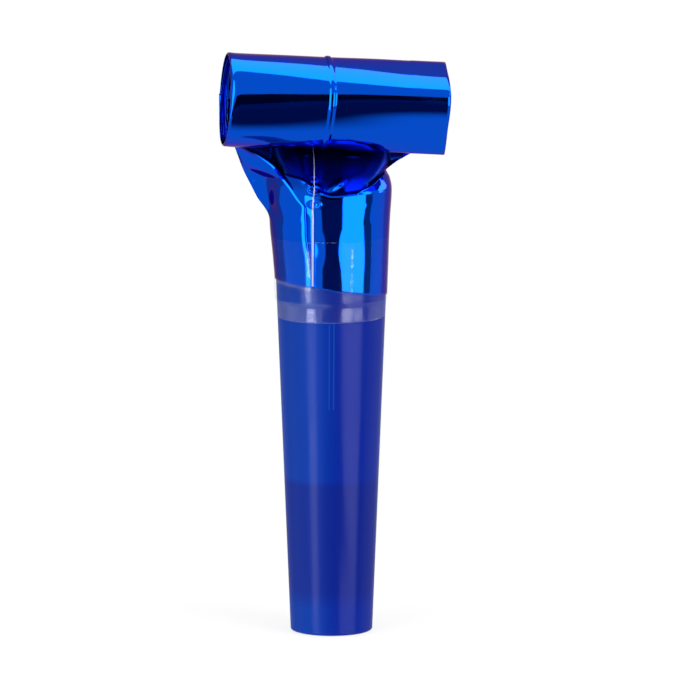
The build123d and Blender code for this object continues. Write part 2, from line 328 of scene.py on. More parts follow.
# Studio, in metres: its centre, lamps and cards by azimuth and elevation in degrees, and a floor
STUDIO_CENTRE = Vector((0, 0, 0.09))
LAMP_DISTANCE = 0.8
# Lamps: name, azimuth, elevation, size, power
LAMPS = [
    ("lamp_right", 40, 25, 0.5, 4.0), ("lamp_left", -50, 25, 0.5, 3.0), ("lamp_top", 10, 85, 0.6, 4.0),
]
CARD_DISTANCE = 0.7
# Upright cards round the object: name, azimuth, half angle, foot above the centre, height, strength
CARDS_AROUND = [
    ("card_right", 37, 23, -0.325, 0.6, 5.5), ("card_side", 69, 8, -0.325, 0.6, 0.25),
    ("card_left", -52, 9, -0.325, 0.95, 7.0), ("card_high_side", 70, 8.13, 0.31, 0.32, 6.0),
    ("card_high_back", 112, 14.04, 0.15, 0.48, 6.0),
]
# Other cards: name, centre, facing, width, height, strength
CARDS_PLACED = [
    ("card_top", (0.0, 0.14, 0.7), (0, 0, -1), 1.0, 0.47, 5.5),
    ("card_back_left", (-0.67, 0.6, 0.55), (0, -1, 0), 1.34, 1.7, 0.5),
    ("card_back_right", (0.59, 0.6, 0.55), (0, -1, 0), 1.18, 1.7, 0.7),
]
# Dark flags that the film mirrors as violet black: the same, and the share of the height that fades
FLAG_TINT = "#FFB2FF"
FLAGS = [
    ("flag_front", (-0.081, -0.62, 0.178), (0, 1, 0), 0.47, 0.276, 0.025, 0.001),
    ("flag_low", (-0.081, -0.62, -0.11), (0, 1, 0), 0.47, 0.3, 0.13, 0.001),
    ("flag_table", (0.026, -0.189, 0.0005), (0, 0, 1), 0.075, 0.322, 0.1, 0.23),
]
FLOOR_RADIUS = 0.34
FLOOR_DROP = 0.0002


def to_linear(colour):
    """Linear RGBA of an sRGB hex colour."""
    parts = [int(colour[place:place + 2], 16) / 255 for place in (1, 3, 5)]
    return [part / 12.92 if part <= 0.04045 else ((part + 0.055) / 1.055) ** 2.4 for part in parts] + [1.0]


def add_node(tree, kind, inputs=None, **settings):
    """Node of a kind, with its settings, and each input set to a value or linked to a node's socket."""
    node = tree.nodes.new(kind)
    for name, value in settings.items():
        setattr(node, name, value)
    for name, value in (inputs or {}).items():
        socket = node.inputs[name]
        if isinstance(value, bpy.types.NodeSocket):
            tree.links.new(value, socket)
        else:
            socket.default_value = value
    return node


def start_material(name):
    """Empty node material, with its tree and its output node."""
    material = bpy.data.materials.new(name)
    material.use_nodes = True
    tree = material.node_tree
    tree.nodes.clear()
    return material, tree, add_node(tree, "ShaderNodeOutputMaterial")


def per_mm(size):
    """Texture scale at which one period of a pattern covers a size in millimetres."""
    return 1 / (size * MM)


def dyed_metallised_film():
    """Polyester film with vapour-deposited aluminium, dyed blue: mirror-bright, purple where it turns
    away, with the faint wrinkles of film off a roll, and with painted shade, darker and duller, on the
    throat's wall."""
    material, tree, output = start_material("dyed_metallised_film")
    place = add_node(tree, "ShaderNodeTexCoord").outputs["Object"]
    wrinkle = add_node(tree, "ShaderNodeTexNoise", {"Vector": place, "Scale": per_mm(5.0), "Detail": 1.5})
    dent = add_node(tree, "ShaderNodeBump", {
        "Height": wrinkle.outputs["Fac"], "Strength": 0.35, "Distance": 0.05 * MM})
    haze = add_node(tree, "ShaderNodeTexNoise", {"Vector": place, "Scale": per_mm(9.0), "Detail": 3.0})
    rough = add_node(tree, "ShaderNodeMapRange", {
        "Value": haze.outputs["Fac"], "From Min": 0.35, "From Max": 0.75, "To Min": 0.035, "To Max": 0.1})
    # Painted shade of the throat's wall, stored on the sleeve; it also makes the mirror rougher
    shade_and_blur = add_node(tree, "ShaderNodeAttribute", attribute_name="shade_and_blur")
    rough = add_node(tree, "ShaderNodeMath", {
        0: shade_and_blur.outputs["Fac"], 1: 0.36, 2: rough.outputs["Result"]}, operation="MULTIPLY_ADD")
    # Blue of the film, mixed toward a painted navy shade on the throat's wall
    dye_and_shade = add_node(tree, "ShaderNodeMix", {
        0: shade_and_blur.outputs["Fac"], 6: to_linear("#034BC8"), 7: to_linear("#030F4C")}, data_type="RGBA")
    shader = add_node(tree, "ShaderNodeBsdfPrincipled", {
        "Base Color": dye_and_shade.outputs[2], "Metallic": 1.0, "Roughness": rough.outputs[0],
        "Specular Tint": [0.65, 0.4, 0.45, 1.0], "Normal": dent.outputs["Normal"]})
    tree.links.new(shader.outputs["BSDF"], output.inputs["Surface"])
    return material


def bare_film_edge():
    """Cut edge of the film's lap, where the milky polyester shows between the metal layers."""
    material, tree, output = start_material("bare_film_edge")
    place = add_node(tree, "ShaderNodeTexCoord").outputs["Object"]
    mottle = add_node(tree, "ShaderNodeTexNoise", {"Vector": place, "Scale": per_mm(1.6), "Detail": 2.0})
    tone = add_node(tree, "ShaderNodeMix", {
        0: mottle.outputs["Fac"], 6: to_linear("#7E7FAE"), 7: to_linear("#C9CAE0")}, data_type="RGBA")
    shader = add_node(tree, "ShaderNodeBsdfPrincipled", {"Base Color": tone.outputs[2], "Roughness": 0.45})
    tree.links.new(shader.outputs["BSDF"], output.inputs["Surface"])
    return material


def moulded_blue_polystyrene():
    """Injection-moulded translucent polystyrene: deep blue with a soft satin gloss, painted lighter on its
    lit left side and painted darker on its right, with painted shade where the reed holder sits behind it,
    and with the strip's two edges painted as faint lighter lines."""
    material, tree, output = start_material("moulded_blue_polystyrene")
    place = add_node(tree, "ShaderNodeTexCoord").outputs["Object"]
    axes = add_node(tree, "ShaderNodeSeparateXYZ", {"Vector": place})
    satin = add_node(tree, "ShaderNodeTexNoise", {"Vector": place, "Scale": per_mm(0.6), "Detail": 2.0})
    bump = add_node(tree, "ShaderNodeBump", {
        "Height": satin.outputs["Fac"], "Strength": 0.12, "Distance": 0.02 * MM})
    flow = add_node(tree, "ShaderNodeTexNoise", {"Vector": place, "Scale": per_mm(30.0), "Detail": 2.0})
    rough = add_node(tree, "ShaderNodeMapRange", {
        "Value": flow.outputs["Fac"], "From Min": 0.3, "From Max": 0.7, "To Min": 0.21, "To Max": 0.27})
    # Painted light and shade across the mouthpiece: lighter on its lit left side, darker on its right
    across = add_node(tree, "ShaderNodeMapRange", {
        "Value": axes.outputs["X"], "From Min": LIT_SIDE_X * MM, "From Max": SHADED_SIDE_X * MM},
        interpolation_type="SMOOTHSTEP")
    tone = add_node(tree, "ShaderNodeMix", {
        0: across.outputs["Result"], 6: to_linear("#003DAC"), 7: to_linear("#002495")}, data_type="RGBA")
    # Painted shade over the height where the reed holder sits behind the wall
    above = add_node(tree, "ShaderNodeMapRange", {
        "Value": axes.outputs["Z"], "From Min": REED_TOP * MM, "From Max": (REED_TOP + REED_FADE_TOP) * MM})
    below = add_node(tree, "ShaderNodeMapRange", {
        "Value": axes.outputs["Z"], "From Min": (REED_LOW - REED_FADE_LOW) * MM, "From Max": REED_LOW * MM,
        "To Min": 1.0, "To Max": 0.0})
    open_bore = add_node(tree, "ShaderNodeMath", {
        0: above.outputs["Result"], 1: below.outputs["Result"]}, operation="MAXIMUM")
    reed_shade_tone = add_node(tree, "ShaderNodeMix", {
        0: across.outputs["Result"], 6: to_linear("#0B2E98"), 7: to_linear("#041F88")}, data_type="RGBA")
    reed_shaded = add_node(tree, "ShaderNodeMix", {
        0: open_bore.outputs[0], 6: reed_shade_tone.outputs[2], 7: tone.outputs[2]}, data_type="RGBA")
    # Painted lighter lines where the strip's two edges show through the front wall
    aside = add_node(tree, "ShaderNodeMath", {
        0: axes.outputs["X"], 1: -STRIP_SEEN_X * MM}, operation="ADD")
    aside = add_node(tree, "ShaderNodeMath", {0: aside.outputs[0]}, operation="ABSOLUTE")
    line = add_node(tree, "ShaderNodeMath", {
        0: aside.outputs[0], 1: STRIP_EDGE_OFFSET * MM, 2: STRIP_EDGE_HALF * MM}, operation="COMPARE")
    front = add_node(tree, "ShaderNodeMath", {0: axes.outputs["Y"], 1: 0.0}, operation="LESS_THAN")
    height = add_node(tree, "ShaderNodeMath", {
        0: axes.outputs["Z"], 1: (STRIP_END_Z + STRIP_SEEN_TOP) / 2 * MM,
        2: (STRIP_SEEN_TOP - STRIP_END_Z) / 2 * MM}, operation="COMPARE")
    line = add_node(tree, "ShaderNodeMath", {
        0: line.outputs[0], 1: front.outputs[0]}, operation="MULTIPLY")
    line = add_node(tree, "ShaderNodeMath", {
        0: line.outputs[0], 1: height.outputs[0]}, operation="MULTIPLY")
    seen = add_node(tree, "ShaderNodeMix", {
        0: line.outputs[0], 6: reed_shaded.outputs[2], 7: to_linear("#0A48AC")}, data_type="RGBA")
    shader = add_node(tree, "ShaderNodeBsdfPrincipled", {
        "Base Color": seen.outputs[2], "Roughness": rough.outputs["Result"], "IOR": 1.5,
        "Specular IOR Level": 0.011, "Transmission Weight": 0.2, "Normal": bump.outputs["Normal"]})
    tree.links.new(shader.outputs["BSDF"], output.inputs["Surface"])
    return material


def plain_satin_plastic(name, colour):
    """Plain plastic of the small moulded, cut or rolled pieces inside, with an even satin sheen."""
    material, tree, output = start_material(name)
    place = add_node(tree, "ShaderNodeTexCoord").outputs["Object"]
    satin = add_node(tree, "ShaderNodeTexNoise", {"Vector": place, "Scale": per_mm(0.8), "Detail": 2.0})
    rough = add_node(tree, "ShaderNodeMapRange", {
        "Value": satin.outputs["Fac"], "To Min": 0.35, "To Max": 0.5})
    shader = add_node(tree, "ShaderNodeBsdfPrincipled", {
        "Base Color": to_linear(colour), "Roughness": rough.outputs["Result"], "IOR": 1.5})
    tree.links.new(shader.outputs["BSDF"], output.inputs["Surface"])
    return material


def clear_parcel_tape():
    """Clear polypropylene tape: hardly seen where its glue holds it to the film, a soft sheen elsewhere."""
    material, tree, output = start_material("clear_parcel_tape")
    haze = add_node(tree, "ShaderNodeAttribute", attribute_name="haze")
    clear = add_node(tree, "ShaderNodeBsdfTransparent")
    sheen = add_node(tree, "ShaderNodeBsdfAnisotropic", {"Color": to_linear("#E4E6FA"), "Roughness": 0.2})
    slant = add_node(tree, "ShaderNodeLayerWeight", {"Blend": 0.5})
    rise = add_node(tree, "ShaderNodeMapRange", {
        "Value": slant.outputs["Facing"], "From Min": 0.15, "To Min": 1.0, "To Max": 4.5})
    share = add_node(tree, "ShaderNodeMath", {
        0: haze.outputs["Fac"], 1: rise.outputs["Result"]}, operation="MULTIPLY")
    both = add_node(tree, "ShaderNodeMixShader", {
        0: share.outputs[0], 1: clear.outputs["BSDF"], 2: sheen.outputs["BSDF"]})
    tree.links.new(both.outputs["Shader"], output.inputs["Surface"])
    return material


def matt_white_table():
    """Matt white laminate that keeps the object's shadow near it and runs out into the white background."""
    material, tree, output = start_material("matt_white_table")
    place = add_node(tree, "ShaderNodeTexCoord").outputs["Object"]
    away = add_node(tree, "ShaderNodeVectorMath", {0: place}, operation="LENGTH")
    far = add_node(tree, "ShaderNodeMapRange", {
        "Value": away.outputs["Value"], "From Min": 0.06, "From Max": 0.22},
        interpolation_type="SMOOTHSTEP")
    lift = add_node(tree, "ShaderNodeMapRange", {"Value": far.outputs["Result"], "To Min": 0.78})
    matt = add_node(tree, "ShaderNodeBsdfDiffuse", {"Color": to_linear("#F7F7F7")})
    glow = add_node(tree, "ShaderNodeEmission", {"Strength": 1.0})
    both = add_node(tree, "ShaderNodeMixShader", {
        0: lift.outputs["Result"], 1: matt.outputs["BSDF"], 2: glow.outputs["Emission"]})
    tree.links.new(both.outputs["Shader"], output.inputs["Surface"])
    return material


def card_glow(name, strength, fade, colour):
    """Even glow of a lit card or a dark flag, with a soft upper edge where it has one."""
    material, tree, output = start_material(name)
    glow = add_node(tree, "ShaderNodeEmission", {"Color": to_linear(colour), "Strength": strength})
    clear = add_node(tree, "ShaderNodeBsdfTransparent")
    place = add_node(tree, "ShaderNodeTexCoord").outputs["UV"]
    axes = add_node(tree, "ShaderNodeSeparateXYZ", {"Vector": place})
    edge = add_node(tree, "ShaderNodeMapRange", {
        "Value": axes.outputs["Y"], "From Min": 1 - fade, "From Max": 1.0}, interpolation_type="SMOOTHSTEP")
    both = add_node(tree, "ShaderNodeMixShader", {
        0: edge.outputs["Result"], 1: glow.outputs["Emission"], 2: clear.outputs["BSDF"]})
    tree.links.new(both.outputs["Shader"], output.inputs["Surface"])
    return material


def smooth(low, high, value):
    """Smooth step from 0 at low to 1 at high."""
    share = min(max((value - low) / (high - low), 0.0), 1.0)
    return share * share * (3 - 2 * share)


def window(start, full, fade, end, value):
    """Smooth window: 0 up to its start, 1 from full to fade, and 0 from its end."""
    return smooth(start, full, value) * (1 - smooth(fade, end, value))


def bell(middle, width, value):
    """Bell curve of height 1 about a middle."""
    return exp(-(((value - middle) / width) ** 2))


def mix(first, second, share):
    """Value between two, by a share."""
    return first + (second - first) * share


def heading(angle):
    """Unit vector in the plane of X and Y at an angle."""
    return Vector((cos(angle), sin(angle)))


def curve_at(points, place):
    """Values on a smooth curve, without overshoot, through points that start with their place."""
    if place <= points[0][0]:
        return points[0][1:]
    if place >= points[-1][0]:
        return points[-1][1:]
    index = max(i for i in range(len(points) - 1) if points[i][0] <= place)
    span = points[index + 1][0] - points[index][0]
    share = (place - points[index][0]) / span

    def slope(i, part):
        if i == 0 or i == len(points) - 1:
            return 0.0
        before = (points[i][part] - points[i - 1][part]) / (points[i][0] - points[i - 1][0])
        after = (points[i + 1][part] - points[i][part]) / (points[i + 1][0] - points[i][0])
        return 0.0 if before * after <= 0 else 2 * before * after / (before + after)

    values = []
    for part in range(1, len(points[0])):
        low = points[index][part]
        high = points[index + 1][part]
        rise = (2 * share**3 - 3 * share**2 + 1) * low + (3 * share**2 - 2 * share**3) * high
        rise += (share**3 - 2 * share**2 + share) * span * slope(index, part)
        rise += (share**3 - share**2) * span * slope(index + 1, part)
        values.append(rise)
    return values


def cone_radius(z):
    """Outer radius of the mouthpiece's cone at a height."""
    return MOUTH_RADIUS + CONE_SLOPE * z


def from_roll(x, y, z):
    """Point of the part for a point in the roll's own frame."""
    turned = Matrix.Rotation(ROLL_TILT, 3, "Y") @ Vector((x, y, z))
    return turned + Vector(ROLL_CENTRE)


def deselect_all():
    """Leaves object mode with nothing selected."""
    if bpy.context.object and bpy.context.object.mode != "OBJECT":
        bpy.ops.object.mode_set(mode="OBJECT")
    bpy.ops.object.select_all(action="DESELECT")


def laid_grid(name, columns, rows, lay, wall, material):
    """Sheet of film or tape: a grid laid on a shape, with its seam closed and a wall thickness."""
    deselect_all()
    bpy.ops.mesh.primitive_grid_add(x_subdivisions=columns, y_subdivisions=rows, size=1)
    sheet = bpy.context.object
    sheet.name = name
    sheet.data.name = name
    for vertex in sheet.data.vertices:
        vertex.co = Vector(lay(vertex.co.x + 0.5, vertex.co.y + 0.5)) * MM
    bpy.ops.object.mode_set(mode="EDIT")
    bpy.ops.mesh.select_all(action="SELECT")
    bpy.ops.mesh.remove_doubles(threshold=0.002 * MM)
    bpy.ops.mesh.normals_make_consistent(inside=False)
    bpy.ops.object.mode_set(mode="OBJECT")
    thicken = sheet.modifiers.new("wall", "SOLIDIFY")
    thicken.thickness = wall * MM
    thicken.offset = -1
    bpy.ops.object.modifier_apply(modifier=thicken.name)
    bpy.ops.object.shade_smooth()
    sheet.data.materials.append(material)
    return sheet


def paint(piece, layer_name, amount):
    """Stores an amount at each point of a piece, for its material to read."""
    layer = piece.data.attributes.new(layer_name, "FLOAT", "POINT")
    for index, vertex in enumerate(piece.data.vertices):
        layer.data[index].value = amount(*(vertex.co / MM))


def film_ripple(x, y, z, size, height):
    """Gentle unevenness of hand-gathered film."""
    return height * noise.noise(Vector((x, y, z)) / size)


def pucker(x, z, middle_x, middle_z, half_x, half_z, lift, turn):
    """Lift of a lens-shaped pucker at a place."""
    along = heading(radians(turn))
    across_share = ((x - middle_x) * along.x + (z - middle_z) * along.y) / half_x
    upward_share = ((z - middle_z) * along.x - (x - middle_x) * along.y) / half_z
    return lift * max(1 - across_share**2 - upward_share**2, 0.0) ** 2


def ring(x, z, middle_x, middle_z, half_x, half_z, lift):
    """Lift of a ring-shaped pucker at a place."""
    away = sqrt(((x - middle_x) / half_x) ** 2 + ((z - middle_z) / half_z) ** 2)
    return lift * bell(RING_MIDDLE, RING_WIDTH, away)


def rings(x, z):
    """Lift of all ring-shaped puckers at a place."""
    return sum(ring(x, z, *place) for place in RINGS)


def groove(away, z, depth, width, heights):
    """Depth of a groove along a fold, by the distance from that fold."""
    return depth * window(*heights, z) * exp(-away / width)


def seam_x(z):
    """X of the lap seam at a height."""
    return mix(SEAM_COLLAR_X, SEAM_TOP_X, smooth(SEAM_BEND_Z, SEAM_TOP_Z, z))


def lap_lift(x, z):
    """Lift of the film over the mouthpiece: it climbs from the left fold to its cut edge at the seam."""
    fold = curve_at(LEFT_FOLD, z)[0]
    seam = seam_x(z)
    climb = window(fold, seam, seam, seam + LAP_EDGE, x)
    return FILM_LIFT + LAP_LIFT * climb * (1 - smooth(*LAP_FADE_HEIGHTS, z))


def front_wall(x, z):
    """Y of the film on the front: on the collar below the rim line, and sloping back above it."""
    rim_z = curve_at(RIM_LINE, x)[0]
    radius = cone_radius(min(z, CONE_KEPT)) + lap_lift(x, z)
    collar = -sqrt(max(radius**2 - x * x, 0.4))
    rim = -sqrt(max(RIM_RADIUS**2 - x * x, 1.0))
    share = min(max((z - rim_z) / (THROAT_TOP - rim_z), -0.2), 1.0)
    slide = mix(max(share, 0.0) ** 3, share, WALL_STRAIGHT)
    back = mix(rim, FLAT_FRONT, slide) + RIM_GUTTER * smooth(0, RIM_GUTTER_SHARE, share)
    rounded = 0.5 * (collar + back + sqrt((collar - back) ** 2 + RIM_BLEND**2))
    return rounded - 0.1 * RIM_BLEND * smooth(*RIM_BLEND_HEIGHTS, z)


def wall_detail(x, z, left, right):
    """How far grooves move the front wall back, less how far puckers move it forward."""
    grooves = groove(x - left, z, *LEFT_GROOVE) + groove(right - x, z, *RIGHT_GROOVE)
    return grooves - sum(pucker(x, z, *place) for place in PUCKERS) - rings(x, z)


def sleeve_row(v):
    """Height on the axis of a row of the sleeve."""
    if v < COLLAR_ROWS_END:
        return mix(FILM_LOW, COLLAR_TOP, v / COLLAR_ROWS_END)
    if v < THROAT_ROWS_END:
        return mix(COLLAR_TOP, THROAT_TOP, (v - COLLAR_ROWS_END) / (THROAT_ROWS_END - COLLAR_ROWS_END))
    return mix(THROAT_TOP, SLEEVE_TOP, (v - THROAT_ROWS_END) / (1 - THROAT_ROWS_END))


def gathered(z):
    """How far the film is gathered round the mouthpiece at a height."""
    return 1 - smooth(COLLAR_TOP, GATHER_TOP, z)


def pleat_height(z):
    """Lift of the top of the loose pleat at a height."""
    return mix(PLEAT_LOW_LIFT, PLEAT_TOP_LIFT, smooth(FILM_LOW, COLLAR_TOP, z))


def pleat_lift(turn, z, fall=PLEAT_FALL):
    """Lift of the loose pleat on the left of the collar, by its angle round the mouthpiece."""
    return pleat_height(z) * window(PLEAT_START, pi, PLEAT_END, PLEAT_END + fall, turn)


def collar_point(turn, z):
    """X, Y of the film where it is gathered on the mouthpiece."""
    return heading(turn) * (cone_radius(min(z, CONE_KEPT)) + FILM_LIFT + pleat_lift(turn, z))


def panel_point(share, z):
    """X, Y of the left panel, from the tube's left edge over its fin and its crease to its fold."""
    fold = curve_at(LEFT_FOLD, z)
    stops = [
        (0, *curve_at(LEFT_EDGE, z)), (ROOT_SHARE, *curve_at(LEFT_ROOT, z)),
        (CREASE_SHARE, *curve_at(LEFT_CREASE, z)), (1, *fold),
    ]
    turn = mix(pi, 2 * pi + atan2(fold[1], fold[0]), share)
    point = Vector(curve_at(stops, share)).lerp(collar_point(turn, z), gathered(z))
    return point * (1 + pucker(point.x, z, *PANEL_SWELL) / point.length)


def hem_point(share, z):
    """X, Y of the edge of the left fold: it rounds over, runs flat along its top and turns under itself."""
    edge = panel_point(1, z)
    along = edge - panel_point(0.97, z)
    first = atan2(along.y, along.x)
    flat = max(first, HEM_FACING)
    angle = mix(first, flat, min(share / HEM_ROUND_END, 1.0))
    if share > HEM_FLAT_END:
        under = max(first + HEM_TURN, flat + HEM_LEAST_TURN)
        angle = mix(flat, under, (share - HEM_FLAT_END) / (1 - HEM_FLAT_END))
    fade = 1 - smooth(HEM_FADE_LOW, HEM_FADE_TOP, z)
    radius = min(HEM_RADIUS, 0.5 * (FILM_LIFT + pleat_height(z))) * fade
    width = mix(HEM_COLLAR_WIDTH, HEM_THROAT_WIDTH, smooth(COLLAR_TOP, HEM_NARROW_Z, z)) * fade
    rounded = Vector((sin(angle) - sin(first), cos(first) - cos(angle))) * radius
    flat_share = min(max((share - HEM_ROUND_END) / (HEM_FLAT_END - HEM_ROUND_END), 0.0), 1.0)
    return edge + rounded + heading(flat) * (width * flat_share)


def wall_point(share, z):
    """X, Y of the front wall, from under the left fold to the right fold."""
    left = panel_point(1, z).x
    right = curve_at(RIGHT_FOLD, z)[0]
    x = mix(left + WALL_LEFT_GAP, right - WALL_RIGHT_GAP, share)
    y = front_wall(x, z) + wall_detail(x, z, left, right)
    return Vector((x, mix(y, FLAT_FRONT, smooth(WALL_FLAT_Z, THROAT_TOP, z))))


def shoulder_point(share, z):
    """X, Y of the right shoulder, from the right fold round to the tube's right edge."""
    first = Vector(curve_at(RIGHT_FOLD, z))
    if z < RIGHT_FOLD_START:
        first = first.normalized() * (cone_radius(z) + FILM_LIFT)
    last = Vector(curve_at(RIGHT_EDGE, z)).lerp(collar_point(0, z), gathered(z))
    turn = mix(atan2(first.y, first.x), atan2(last.y, last.x), share)
    return heading(turn) * mix(first.length, last.length, share)


def rim_point(share, z):
    """X, Y of the right fold: it rises from the wall and runs flat along its top to the shoulder."""
    start = wall_point(1, z)
    end = shoulder_point(0, z)
    facing = mix(FOLD_FACING_LOW, FOLD_FACING_HIGH, smooth(*FOLD_TURN_HEIGHTS, z))
    flat = end - heading(facing) * (FOLD_WIDTH * window(*FOLD_HEIGHTS, z))
    if share > 0.5:
        return flat.lerp(end, 2 * share - 1)
    return Vector((mix(start.x, flat.x, 2 * share), mix(start.y, flat.y, 1 - (1 - 2 * share) ** 2)))


def back_point(share, z):
    """X, Y of the back of the sleeve, from its right edge over the mouthpiece's rim to its left edge."""
    left = curve_at(LEFT_EDGE, z)
    right = curve_at(RIGHT_EDGE, z)
    inward = min(share, 1 - share)
    rise = min(max((z - COLLAR_TOP) / (THROAT_TOP - COLLAR_TOP), 0), 1)
    hollow = (cone_radius(min(z, CONE_KEPT)) + FILM_LIFT) * (1 - rise)
    base = mix(right[1], left[1], share)
    flattening = smooth(COLLAR_TOP, THROAT_TOP, z) * smooth(0, BACK_FOLD, inward)
    y = mix(base, FLAT_BACK, flattening) + hollow * sin(share * pi)
    point = Vector((mix(right[0], left[0], 0.5 - 0.5 * cos(share * pi)), y))
    over_rim = 1 - smooth(BACK_LEAVES_LOW, BACK_LEAVES_TOP, z)
    grip = mix(gathered(z), over_rim, smooth(0, BACK_SIDE, inward))
    return point.lerp(collar_point(share * pi, z), grip)


def sleeve_flat(u, z):
    """X, Y of a point of the sleeve, by its way round and its height."""
    if u < PANEL_END:
        return panel_point(u / PANEL_END, z)
    if u < HEM_END:
        return hem_point((u - PANEL_END) / (HEM_END - PANEL_END), z)
    if u < GROOVE_END:
        return hem_point(1, z).lerp(wall_point(0, z), (u - HEM_END) / (GROOVE_END - HEM_END))
    if u < WALL_END:
        return wall_point((u - GROOVE_END) / (WALL_END - GROOVE_END), z)
    if u < RIM_END:
        return rim_point((u - WALL_END) / (RIM_END - WALL_END), z)
    if u < SHOULDER_END:
        return shoulder_point((u - RIM_END) / (SHOULDER_END - RIM_END), z)
    return back_point((u - SHOULDER_END) / (1 - SHOULDER_END), z)


def settle(flat, z):
    """Point of the part for an X, Y of the sleeve, with its slanted lower edge, the tilt and the ripples."""
    height = z
    if z < COLLAR_TOP:
        low = FILM_LOW - flat.x * tan(FILM_SKEW)
        height = mix(low, COLLAR_TOP, (z - FILM_LOW) / (COLLAR_TOP - FILM_LOW))
    height -= flat.x * tan(ROLL_TILT) * smooth(TILT_START_Z, THROAT_TOP, z)
    wave = mix(COLLAR_RIPPLE, THROAT_RIPPLE, smooth(*RIPPLE_CALM_HEIGHTS, z)) * window(*RIPPLE_HEIGHTS, z)
    ripple = film_ripple(flat.x, flat.y, height * 0.7, RIPPLE_SIZE, wave)
    if flat.y < SWELL_FRONT_Y:
        ripple += sum(pucker(flat.x, height, *place) for place in SWELLS)
    moved = flat + flat.normalized() * ripple
    return moved.x, moved.y, height


def sleeve_point(u, v):
    """Point of the film sleeve: collar, throat, flat run and lead."""
    z = sleeve_row(v)
    return settle(sleeve_flat(u % 1.0, z), z)


def film_wall_shade(x, y, z):
    """How much painted shade, with a duller mirror, the sleeve's film gets: most on the wall that slopes
    back under the roll between the two folds.
    """
    left = curve_at(LEFT_FOLD, z)[0] + HEM_RADIUS
    right = curve_at(RIGHT_FOLD, z)[0]
    inside = window(left, left + 1, right - WALL_SHADE_SIDE, right, x)
    inside *= smooth(*WALL_SHADE_START_HEIGHTS, z) * (1 - smooth(*WALL_SHADE_END_DEPTHS, y))
    shade_and_blur = WALL_SHADE + WALL_SHADE_HIGH * smooth(*WALL_SHADE_HIGH_HEIGHTS, z)
    shade_and_blur += WALL_SHADE_RIGHT * min(exp((x - right) / WALL_SHADE_RIGHT_REACH), 1.0)
    taut = min(rings(x, z) / TAUT_LIFT, 1.0)
    return min(shade_and_blur * inside * (1 - taut), 1.0)


def underside(turn):
    """Share of the radius at an angle of the roll, whose underside is pressed to two flats."""
    facing = (pi - turn) % (2 * pi) - 2 * pi
    if not UNDERSIDE_BACK < facing < UNDERSIDE_FRONT:
        return 1.0
    bottom = UNDERSIDE_SHARE / cos(facing - UNDERSIDE_BOTTOM)
    if facing < UNDERSIDE_BOTTOM:
        return min(bottom, 1.0)
    return min(1 / cos(facing - UNDERSIDE_FRONT), bottom)


def roll_radius(turn, x):
    """Radius of the roll's film at an angle wound from the back over the top, and at a place along it."""
    turns = turn / (2 * pi)
    wound = turns - LOOSE_TURNS * (1 - exp(-turns / LOOSE_TURNS))
    radius = ROLL_RADIUS - TURN_PITCH * wound
    radius += (LEAD_BACK - LEAD_HALF - ROLL_RADIUS) * exp(-turn / LEAVING_ANGLE)
    share = radius / ROLL_RADIUS
    radius *= mix(1.0, underside(turn), smooth(UNDERSIDE_FROM_X, UNDERSIDE_TO_X, x))
    reach = PRESSED_REACH
    for distance, facing in PRESSED_FLATS:
        away = cos(pi - turn - radians(facing))
        if away > 0.3:
            reach = min(reach, distance / away)
    return mix(radius, reach * share, smooth(PRESSED_FROM_X, PRESSED_TO_X, x))


def rim_curl(turn, x):
    """How far the left rim of the roll turns in: its round, its wave and its dent."""
    inset = min(x + ROLL_HALF, EDGE_ROUND)
    curl = EDGE_ROUND - sqrt(max(EDGE_ROUND**2 - (EDGE_ROUND - inset) ** 2, 0.0))
    curl += RIM_WAVE * sin(3 * turn + 1) * smooth(ROLL_HALF - RIM_WAVE_REACH, ROLL_HALF, -x)
    dented = window(*RIM_DENT_FACINGS, 180 - degrees(turn) % 360)
    width = RIM_DENT_WIDTH + RIM_DENT_WAVE * sin(7 * turn)
    return curl + RIM_DENT_SLOPE * dented * max(width - (x + ROLL_HALF), 0.0)


def roll_height(turn, x):
    """Radius with the ridge of the spring strip, the crease, the left rim and the film's ripples."""
    radius = sum(roll_radius(max(turn + step, 0.0), x) for step in FILM_BEND) / len(FILM_BEND)
    ridge = RIDGE_HEIGHT * (1 - smooth(RIDGE_FLAT, RIDGE_FOOT, abs(x - RIDGE_X)))
    crease = CREASE_STEP * smooth(CREASE_X - CREASE_HALF, CREASE_X + CREASE_HALF, x)
    ripple = film_ripple(x * 0.6, 9 * sin(turn), 9 * cos(turn), ROLL_RIPPLE_SIZE, ROLL_RIPPLE)
    return radius + ridge + crease - rim_curl(turn, x) + ripple


def roll_turn(u):
    """Angle wound at a share of the roll's steps: fine on the outer turns and coarser on those inside."""
    steps = u * ROLL_STEPS
    outer = OUTER_TURNS * OUTER_STEPS
    turns = steps / OUTER_STEPS if steps <= outer else OUTER_TURNS + (steps - outer) / INNER_STEPS
    return turns * 2 * pi


def roll_across(v):
    """Place along the roll, with closer points at its left edge and at the ridge of the spring strip."""
    ridge_left = RIDGE_X - RIDGE_ZONE
    ridge_right = RIDGE_X + RIDGE_ZONE
    if v < EDGE_END:
        return EDGE_ROUND * (1 - cos(v / EDGE_END * pi / 2)) - ROLL_HALF
    if v < LEFT_PART_END:
        return mix(EDGE_ROUND - ROLL_HALF, ridge_left, (v - EDGE_END) / (LEFT_PART_END - EDGE_END))
    if v < RIDGE_ZONE_END:
        return mix(ridge_left, ridge_right, (v - LEFT_PART_END) / (RIDGE_ZONE_END - LEFT_PART_END))
    return mix(ridge_right, ROLL_HALF, (v - RIDGE_ZONE_END) / (1 - RIDGE_ZONE_END))


